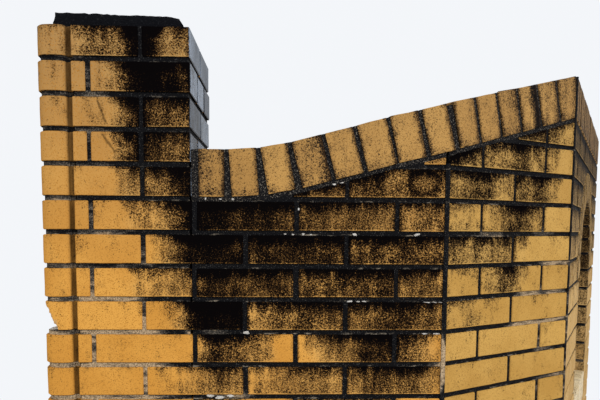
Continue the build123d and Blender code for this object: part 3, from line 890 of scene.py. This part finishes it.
# The moulded corner's mortar is shrunk towards its flat sides, and more so behind the broken brick
bead = {"shrink": 0.93, "behind break": 0.45, "grain": 0.001}
pivot = (pierLow.x + mould["flat from"], pierLow.y + mould["flat from"], 1)
beadMortar = copyOf(["pier_corner_moulding"], "bead_mortar")
edit(beadMortar)
bpy.ops.mesh.select_all(action="SELECT")
bpy.ops.transform.resize(value=(bead["shrink"], bead["shrink"], 1), center_override=pivot)
leaveEdit()
gridCut("front", beadMortar, middleCell, middleCell, middleCell * 1.5)
edit(beadMortar)
breakLow, breakHigh = bottomOf(mould["broken course"]) - 0.002, topOf(mould["broken course"]) - 0.004
for z in (breakLow, breakLow + 0.003, breakHigh - 0.003, breakHigh):
    cutAcross((0, 0, z), (0, 0, 1))
leaveEdit()
points = readPoints(beadMortar.data)
behindBreak = (points[:, 2] > breakLow + 0.002) & (points[:, 2] < breakHigh - 0.002)
for axis in (0, 1):
    shrunk = pivot[axis] + (points[:, axis] - pivot[axis]) * bead["behind break"]
    points[:, axis] = np.where(behindBreak, shrunk, points[:, axis])
note(beadMortar.data, soot=sootOnJoint("front", points[:, 0] - runs["front"]["origin"].x, points[:, 2]))
writePoints(beadMortar.data, roughen(points, bead["grain"], mortar["grain size"], 3))
allMortar["bead_mortar"] = ([beadMortar], [])
print("mortar is worked")

# Lime that ran out of the joints: place along the run, height, half width and half height, in millimetres
limeRuns = [
    (-76, 1498, 7, 4), (-231, 1497, 6, 4), (-242, 1329, 8, 2.2), (-221, 1329, 4, 1.8), (-204, 1329, 6, 2),
    (-46, 1327, 13, 1.6), (-26, 1327, 10, 2), (-8, 1327, 10, 1.6), (-502, 1250, 8, 4), (-593, 1089, 10, 5),
    (-568, 1083, 12, 5), (-543, 1088, 8, 4), (-602, 1583, 3, 3), (-566, 1583, 4, 2), (-534, 1583, 3, 3),
    (-405, 1498, 3, 2), (-386, 1497, 3, 2), (-360, 1498, 5, 3), (-341, 1497, 3, 2), (-49, 1247, 8, 2),
    (-19, 1247, 9, 2), (-463, 1569, 5, 4), (-369, 1560, 5, 4), (-245, 1571, 5, 4), (-283, 1620, 5, 4),
    (-263, 1625, 5, 3), (-4, 1216, 6, 10), (-2, 1196, 4, 14), (-3, 1172, 5, 16),
]
beadLime = (-983, 1251, 12, 9)  # a lump under the broken brick, where the bead is round
lime = {"thick": 0.0036, "rough": 0.65, "rough size": 0.7, "set in": 0.0062, "bead set in": 0.022}
deselect()
bpy.ops.mesh.primitive_ico_sphere_add(subdivisions=2, radius=1.0, location=(0, 0, 0))
crumb = bpy.context.object
limeBits = []
for place in limeRuns + [beadLime]:
    u, z, halfWide, halfHigh = np.array(place) / 1000
    setIn = lime["bead set in" if place is beadLime else "set in"]
    laid = copyAs("crumb", crumb)
    points = roughen(readPoints(laid.data), lime["rough"], lime["rough size"], chance.uniform(0, 40))
    points = points * (halfWide, lime["thick"], halfHigh) + (u, setIn, z)
    writePoints(laid.data, toWorld(runs["front"], *points.T))
    limeBits.append(laid)
bpy.data.objects.remove(crumb)
limePiece = shadeSmooth(joinAs(limeBits, "lime_runs"), 50)

# The pier's cap: a worn slab of mortar
cap = {"bump": 0.0018, "bump size": 0.030, "pit": 0.0024, "pit size": 0.008, "cell": 0.009, "sunk": 0.4}
capSlab = copyOf(["pier_cap"], "cap_slab")
gridCut("front", capSlab, cap["cell"], cap["cell"], cap["cell"])
points = readPoints(capSlab.data)
rough = roughen(roughen(points, cap["bump"], cap["bump size"], 5), cap["pit"], cap["pit size"], 2)
rough[:, 2] -= cap["bump"] * cap["sunk"]
rough[:, 2] = np.where(points[:, 2] < pierHigh.z + 0.001, points[:, 2], rough[:, 2])
writePoints(capSlab.data, rough)
shadeSmooth(capSlab, 40)


# Materials
def addNode(tree, kind, inputs=None, **settings):
    made = tree.nodes.new(kind)
    for key, value in settings.items():
        setattr(made, key, value)
    for key, value in (inputs or {}).items():
        if isinstance(value, bpy.types.NodeSocket):
            tree.links.new(value, made.inputs[key])
        else:
            made.inputs[key].default_value = value
    return made


# One material under way: its node tree, with short ways to add what is used most
class Paint:
    def __init__(self, name):
        self.material = bpy.data.materials.new(name)
        self.material.use_nodes = True
        self.tree = self.material.node_tree
        self.shader = self.tree.nodes["Principled BSDF"]
        self.place = self.add("ShaderNodeTexCoord").outputs["Object"]

    def add(self, kind, inputs=None, **settings):
        return addNode(self.tree, kind, inputs, **settings)

    def calc(self, operation, *values):
        return self.add("ShaderNodeMath", dict(enumerate(values)), operation=operation).outputs[0]

    def plus(self, first, second):
        return self.calc("ADD", first, second)

    def times(self, value, by, *added):
        return self.calc("MULTIPLY_ADD" if added else "MULTIPLY", value, by, *added)

    # Noise around nought, from -reach / 2 to reach / 2
    def centred(self, value, reach):
        return self.times(value, reach, -reach / 2)

    def noise(self, scale, detail=2.0, rough=0.5):
        where = self.place
        if isinstance(scale, tuple):
            where = self.add("ShaderNodeMapping", {"Vector": where, "Scale": scale}).outputs[0]
            scale = 1.0
        inputs = {"Vector": where, "Scale": scale, "Detail": detail, "Roughness": rough}
        return self.add("ShaderNodeTexNoise", inputs).outputs[0]

    def mask(self, value, low, high):
        inputs = {"Value": value, "From Min": low, "From Max": high}
        made = self.add("ShaderNodeMapRange", inputs, interpolation_type="SMOOTHSTEP", clamp=True)
        return made.outputs[0]

    def mix(self, share, first, second):
        inputs = {0: share}
        for key, value in ((6, first), (7, second)):
            inputs[key] = value if isinstance(value, bpy.types.NodeSocket) else (*value, 1.0)
        return self.add("ShaderNodeMix", inputs, data_type="RGBA").outputs[2]

    def read(self, name, output="Fac"):
        return self.add("ShaderNodeAttribute", attribute_name=name).outputs[output]

    def split(self, vector):
        return self.add("ShaderNodeSeparateXYZ", {0: vector}).outputs

    # The ways that a material uses most, to call them without the paint's name
    def ways(self):
        return self.mix, self.mask, self.times, self.plus, self.noise

    def finish(self, colour, roughness, gloss=None, bump=None):
        self.tree.links.new(colour, self.shader.inputs["Base Color"])
        self.shader.inputs["Roughness"].default_value = roughness
        if gloss is not None:
            self.shader.inputs["Specular IOR Level"].default_value = gloss
        if bump:
            inputs = dict(zip(("Height", "Strength", "Distance"), bump))
            self.tree.links.new(self.add("ShaderNodeBump", inputs).outputs[0], self.shader.inputs["Normal"])
        return self.material


# What the weather has done to every brick, with the colours of the painted shade and highlight on it
weather = {
    "film over": (1.25, 2.08),  # heights between which the film thickens
    "bleached": (0.66, 0.43, 0.155), "pit": (0.080, 0.042, 0.018), "soot": (0.0026, 0.0020, 0.0022),
    "scratch": (0.035, 0.017, 0.006), "dirt": (0.040, 0.019, 0.006),
    "raw dark": (0.50, 0.27, 0.10), "raw light": (0.80, 0.55, 0.28),
    "soot gain": 1.56, "soot grain": 2.4, "soot dust": 2.6, "streaks": (52.0, 52.0, 9.0),
    "fingers": (95.0, 95.0, 16.0), "finger length": 0.034, "rim": 0.009, "clean foot": 0.55,
}


# A thin dark scratch on the front, given its two ends
def scratchOf(paint, first, last):
    mix, mask, times, plus, noiseOf = paint.ways()
    start = Vector(first) + Vector((runs["front"]["origin"].x, 0))
    way = Vector(last) - Vector(first)
    half = way.length / 2
    way.normalize()
    apart = paint.split(paint.place)
    x = paint.calc("SUBTRACT", apart[0], start.x)
    z = paint.calc("SUBTRACT", apart[2], start.y)
    along = times(x, way.x, times(z, way.y))
    off = times(x, way.y, times(z, -way.x))
    off = plus(off, paint.centred(noiseOf(90.0), 0.010))
    fromMiddle = paint.calc("ABSOLUTE", paint.calc("SUBTRACT", along, half))
    line = mask(paint.calc("ABSOLUTE", off), 0.0046, 0.0008)
    line = times(line, mask(fromMiddle, half + 0.003, half - 0.006))
    return times(line, mask(apart[1], faceY + 0.03, faceY + 0.01))


def brickMaterial(name, look):
    look = plainLook | look
    paint = Paint(name)
    mix, mask, times, plus, noiseOf = paint.ways()
    sootHere, drip, tone = paint.read("soot"), paint.read("drip"), paint.read("tone")
    fromEnd, fromTop, fromBottom = paint.split(paint.read("onBrick", "Vector"))

    # clean clay: soft clouds, each brick a shade of its own, a fine dark grain and a few pits
    cloud = times(tone, look["by brick"], noiseOf(9.0, 3.0))
    clay = mix(mask(cloud, 0.26, 0.74), look["light"], look["deep"])
    film = times(mask(paint.split(paint.place)[2], *weather["film over"]), look["film"])
    clay = mix(film, clay, look["film colour"])
    bleached = times(mask(sootHere, 0.08, 0.45), look["bleached"])
    clay = mix(bleached, clay, weather["bleached"])
    clay = mix(mask(noiseOf(420.0, 1.0), 0.46, 0.32), clay, look["grain"])
    pit = times(film, 0.03, noiseOf(250.0, 1.0, 0.6))
    pit = times(mask(pit, look["pits"], look["pits"] + 0.06), 0.6)
    clay = mix(pit, clay, weather["pit"])

    # soot: streaks that run down from the bed joint, with a granular edge
    grain = noiseOf(look["soot grain"], 3.0, 0.7)
    dust = noiseOf(look["soot grain"] * 2.1, 2.0, 0.6)
    streak = noiseOf(weather["streaks"], 3.0, 0.6)
    amount = times(sootHere, weather["soot gain"])
    amount = plus(amount, paint.centred(streak, look["streak"]))
    amount = plus(amount, paint.centred(noiseOf(26.0), look["patch"]))
    finger = times(noiseOf(weather["fingers"]), 2.4, -0.55)
    finger = times(mask(fromTop, weather["finger length"], 0.001), finger)
    hanging = times(finger, times(drip, times(sootHere, 1.9, 0.10)))
    amount = plus(amount, times(hanging, look["hang"]))
    rim = mask(paint.calc("MINIMUM", fromEnd, fromTop), weather["rim"], 0.002)
    amount = plus(amount, times(rim, times(sootHere, 0.5, 0.04)))
    # Painted highlight: less soot along each brick's bottom arris, where it catches the light
    foot = times(mask(fromBottom, 0.0042, 0.0016), weather["clean foot"])
    amount = paint.calc("SUBTRACT", amount, foot)
    # Painted shade: darker on the bottom arris where it turns into the joint below
    jointShade = times(mask(fromBottom, 0.0014, 0.0004), look["in joint"])
    amount = plus(amount, jointShade)
    specks = plus(amount, paint.centred(grain, weather["soot grain"]))
    specks = plus(specks, paint.centred(dust, weather["soot dust"]))
    brown = times(mask(specks, -0.05, 0.95), mask(amount, 0.12, 0.52))
    colour = mix(brown, clay, look["stained"])
    black = mask(specks, 0.58, times(amount, 0.34, 0.84))
    colour = mix(black, colour, weather["soot"])
    for ends in look["scratches"]:
        colour = mix(times(scratchOf(paint, *ends), 0.62), colour, weather["scratch"])

    # painted shade in brown: in the bead's quirk, under the arch and along the coping bricks' side edges;
    # and lighter clay where a face is broken
    shade = times(paint.read("shade"), times(streak, 0.7, 0.6))
    colour = mix(mask(shade, 0.0, 1.0), colour, weather["dirt"])
    raw = mix(grain, weather["raw dark"], weather["raw light"])
    colour = mix(paint.read("raw"), colour, raw)
    surface = times(noiseOf(520.0), 0.5, noiseOf(120.0))
    return paint.finish(colour, look["roughness"], look["gloss"], (surface, 0.3, 0.0008))


plainLook = {
    "hang": 1.0, "roughness": 0.6, "gloss": 0.0, "bleached": 0.0, "by brick": 0.17, "in joint": 1.6,
    "scratches": [],
}
wallClay = brickMaterial("wallClay", {
    "light": (0.715, 0.355, 0.072), "deep": (0.605, 0.280, 0.050), "grain": (0.43, 0.19, 0.034),
    "film colour": (0.325, 0.192, 0.078), "film": 0.87, "stained": (0.135, 0.066, 0.020),
    "pits": 0.69, "bleached": 0.38, "soot grain": 225.0, "streak": 1.1, "patch": 1.0,
    "scratches": [((-0.860, 1.820), (-0.840, 1.762)), ((-0.852, 1.738), (-0.816, 1.690))],
})
splayClay = brickMaterial("splayClay", {
    "light": (0.585, 0.345, 0.094), "deep": (0.480, 0.268, 0.066), "grain": (0.36, 0.19, 0.045),
    "film colour": (0.36, 0.235, 0.090), "film": 0.45, "stained": (0.125, 0.070, 0.025),
    "pits": 0.68, "bleached": 0.2, "soot grain": 185.0, "streak": 0.8, "patch": 1.2,
})
sideClay = brickMaterial("sideClay", {
    "light": (0.620, 0.405, 0.165), "deep": (0.52, 0.32, 0.115), "grain": (0.38, 0.22, 0.075),
    "film colour": (0.150, 0.112, 0.052), "film": 1.0, "stained": (0.110, 0.066, 0.026),
    "pits": 0.70, "roughness": 0.7, "gloss": 0.02, "soot grain": 200.0, "streak": 0.9, "patch": 0.9,
})
copingClay = brickMaterial("copingClay", {
    "light": (0.510, 0.280, 0.078), "deep": (0.395, 0.205, 0.054), "grain": (0.28, 0.140, 0.036),
    "film colour": (0.42, 0.26, 0.10), "film": 0.45, "stained": (0.120, 0.066, 0.026), "pits": 0.635,
    "hang": 0.10, "roughness": 0.65, "gloss": 0.05, "soot grain": 215.0, "streak": 0.5, "patch": 0.5,
    "in joint": 0.0,
})
sillClay = brickMaterial("sillClay", {
    "light": (0.84, 0.70, 0.45), "deep": (0.75, 0.60, 0.35), "grain": (0.55, 0.38, 0.19),
    "film colour": (0.40, 0.28, 0.14), "film": 0.0, "stained": (0.22, 0.13, 0.05), "pits": 0.72,
    "hang": 0.4, "roughness": 0.5, "gloss": 0.3, "soot grain": 240.0, "streak": 0.6, "patch": 0.6,
    "in joint": 0.0,
})
# The pier's free right side, seen at a glancing angle: its blue-grey colour is a painted reflection of the
# pale sky over the clay
pierSideClay = brickMaterial("pierSideClay", {
    "light": (0.340, 0.420, 0.540), "deep": (0.075, 0.100, 0.140), "grain": (0.06, 0.070, 0.085),
    "film colour": (0.17, 0.20, 0.25), "film": 0.3, "stained": (0.030, 0.032, 0.036), "pits": 0.70,
    "hang": 0.6, "roughness": 0.50, "gloss": 0.25, "soot grain": 240.0, "by brick": -0.50,
    "streak": 0.9, "patch": 0.9,
})


# Mortar is pale where it stayed clean, grey and then black with soot, and keeps a pale crust over beds
def mortarMaterial(name, look):
    paint = Paint(name)
    mix, mask, times, plus, noiseOf = paint.ways()
    dark = plus(paint.read("soot"), paint.centred(noiseOf((11.0, 11.0, 60.0), 3.0, 0.6), 1.5))
    sand = noiseOf(330.0, 2.0, 0.7)
    pale = mix(mask(sand, 0.35, 0.65), (0.18, 0.125, 0.072), (0.54, 0.400, 0.250))
    grey = mix(mask(sand, 0.42, 0.70), (0.020, 0.018, 0.017), (0.16, 0.135, 0.105))
    sandy = mask(sand, look["sand"], look["sand"] + 0.10)
    black = mix(sandy, look["black"], look["sand colour"])
    colour = mix(mask(dark, 0.18, 0.42), pale, grey)
    colour = mix(mask(dark, 0.44, 0.66), colour, black)
    height = paint.split(paint.place)[2]
    foot = mask(paint.calc("MODULO", height, course), 0.0052, 0.0022)
    ragged = mask(noiseOf((26.0, 26.0, 80.0), 4.0, 0.8), 0.54, 0.64)
    lower = times(mask(height, 1.75, 1.50), 0.6, 0.4)
    crust = times(times(foot, ragged), times(lower, look["crust"]))
    colour = mix(crust, colour, mix(sand, (0.12, 0.098, 0.070), (0.48, 0.41, 0.31)))
    return paint.finish(colour, 0.92, 0.12, (plus(sand, noiseOf(130.0)), 0.7, 0.0016))


jointMortar = mortarMaterial("jointMortar", {
    "black": (0.0032, 0.0032, 0.0042), "sand": 0.60, "sand colour": (0.080, 0.078, 0.074), "crust": 0.7,
})
bedMortar = mortarMaterial("bedMortar", {
    "black": (0.0065, 0.0062, 0.0072), "sand": 0.567, "sand colour": (0.190, 0.168, 0.135), "crust": 0.0,
})


def capMaterial():
    paint = Paint("capCrust")
    grain, lichen = paint.noise(240.0, 3.0, 0.7), paint.noise(70.0, 3.0, 0.7)
    colour = paint.mix(paint.mask(grain, 0.54, 0.76), (0.0034, 0.0038, 0.0056), (0.020, 0.021, 0.024))
    colour = paint.mix(paint.mask(lichen, 0.68, 0.76), colour, (0.070, 0.058, 0.034))
    return paint.finish(colour, 0.95, 0.1, (paint.plus(grain, lichen), 0.9, 0.003))


def limeMaterial():
    paint = Paint("limeCrumbs")
    grain = paint.noise(300.0)
    colour = paint.mix(paint.mask(grain, 0.3, 0.7), (0.34, 0.31, 0.27), (0.70, 0.68, 0.64))
    return paint.finish(colour, 0.95, None, (grain, 0.6, 0.0015))


print("materials are made")

stoodFor = set()


# Gives a piece its material, hangs it under the root and hides the frame's nodes that it is the first to
# stand for
def finish(piece, material, slotName, nodeNames=()):
    writePoints(piece.data, np.clip(readPoints(piece.data), np.array(cadBox[0]), np.array(cadBox[1])))
    piece.data.materials.clear()
    piece.data.materials.append(material)
    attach(piece, "root")
    replaced = [name for name in nodeNames if name not in stoodFor]
    if replaced:
        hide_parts(*replaced)
    stoodFor.update(replaced)
    return piece


pierPiece = finish(joinAs(pierBricks, "pier_bricks"), wallClay, "pier_brick", ["pier_brickwork"])
# Faces on the pier's free right side take the painted sky reflection
pierPiece.data.materials.append(pierSideClay)
for face in pierPiece.data.polygons:
    if face.normal.x > 0.4 and face.center.x > pierHigh.x - 0.006 and face.center.z > clearAbove:
        face.material_index = 1
for bricks, name, material, slotName, nodeNames in (
    (beadBricks, "pier_corner_bricks", wallClay, "pier_brick", ["pier_corner_moulding"]),
    (frontBricks, "front_bricks", wallClay, "wall_brick", ["front_wall"]),
    (splayBricks, "splay_bricks", splayClay, "wall_brick", ["splay_wall"]),
    (sideBricks["low"], "under_sill_bricks", sideClay, "side_brick", ["under_sill_wall"]),
    (sideBricks["jambs"], "jamb_bricks", sideClay, "side_brick", ["near_jamb", "far_jamb"]),
    (
        sideBricks["over"], "over_arch_bricks", sideClay, "side_brick",
        ["crown_course", "near_shoulder", "far_shoulder", *spandrels],
    ),
    ([frontCoping], "front_coping_bricks", copingClay, "coping_brick", frontNodes),
    ([splayCoping], "splay_coping_bricks", copingClay, "coping_brick", splayNodes),
    ([sideCoping], "side_coping_bricks", copingClay, "coping_brick", sideNodes),
    ([sillBricks], "sill_bricks", sillClay, "sill_brick", ["sill_brick_row"]),
    ([archBricks], "arch_bricks", sideClay, "arch_brick", ["arch_ring"]),
    ([capSlab], "cap_slab", capMaterial(), "cap_mortar", ["pier_cap"]),
    ([limePiece], "lime_runs", limeMaterial(), "joint_mortar", []),
):
    finish(joinAs(bricks, name), material, slotName, nodeNames)
for name, (pieces, nodeNames) in allMortar.items():
    sandy = name.endswith("_bed") or "coping" in name
    finish(joinAs(pieces, name), bedMortar if sandy else jointMortar, "joint_mortar", nodeNames)
for master in (fineBrick, plainBrick, longBead, shortBead):
    bpy.data.objects.remove(master)
print("pieces are named and placed")

# Studio: pale floor, soft even light, pale background
stage = {
    "floor": (0.80, 0.80, 0.79), "floor light": (0.84, 0.84, 0.83), "world": 0.84,
    "backdrop": (0.90, 0.92, 0.95), "key": 125.0,
}
deselect()
bpy.ops.mesh.primitive_circle_add(vertices=96, radius=2.9, fill_type="NGON", location=(0.7, 0.4, 0))
floor = bpy.context.object
floor.name = "studio_floor"
floorPaint = Paint("studioFloor")
floorTone = floorPaint.mix(floorPaint.noise(3.0), stage["floor"], stage["floor light"])
floor.data.materials.append(floorPaint.finish(floorTone, 0.9))
deselect()
bpy.ops.object.light_add(type="AREA", location=(2.2, -4.2, 4.6))
keyLight = bpy.context.object
keyLight.name = "studio_key"
keyLight.data.energy = stage["key"]
keyLight.data.size = 3.5
aim = Vector((0.5, 0, 1.2)) - keyLight.location
keyLight.rotation_euler = aim.to_track_quat("-Z", "Y").to_euler()

world = bpy.data.worlds.new("studio")
bpy.context.scene.world = world
world.use_nodes = True
sky = world.node_tree
sky.nodes.clear()
soft = addNode(sky, "ShaderNodeBackground", {"Color": (1.0, 1.0, 1.0, 1.0), "Strength": stage["world"]})
pale = addNode(sky, "ShaderNodeBackground", {"Color": (*stage["backdrop"], 1.0), "Strength": 1.0})
seen = addNode(sky, "ShaderNodeLightPath").outputs["Is Camera Ray"]
shown = addNode(sky, "ShaderNodeMixShader", {0: seen, 1: soft.outputs[0], 2: pale.outputs[0]})
addNode(sky, "ShaderNodeOutputWorld", {0: shown.outputs[0]})

# Camera, as it was fitted to the joints in the photo
view = {
    "place": (0.4035, -1.6135, 1.512), "yaw": 1.935, "pitch": 4.743, "roll": -0.368,
    "lens": 34.5, "sensor": 36.0, "shift": 0.127,
}
yaw, pitch, roll = (math.radians(view[key]) for key in ("yaw", "pitch", "roll"))
forward = Vector((math.sin(yaw) * math.cos(pitch), math.cos(yaw) * math.cos(pitch), -math.sin(pitch)))
level = Vector((math.cos(yaw), -math.sin(yaw), 0))
downward = forward.cross(level)
across = level * math.cos(roll) + downward * math.sin(roll)
down = downward * math.cos(roll) - level * math.sin(roll)
deselect()
bpy.ops.object.camera_add(location=view["place"])
camera = bpy.context.object
camera.name = "studio_camera"
camera.matrix_world = Matrix.Translation(view["place"]) @ Matrix(
    (across, -down, -forward)
).transposed().to_4x4()
camera.data.lens = view["lens"]
camera.data.sensor_width = view["sensor"]
camera.data.shift_y = view["shift"]
bpy.context.scene.camera = camera
bpy.context.scene.view_settings.view_transform = "Standard"
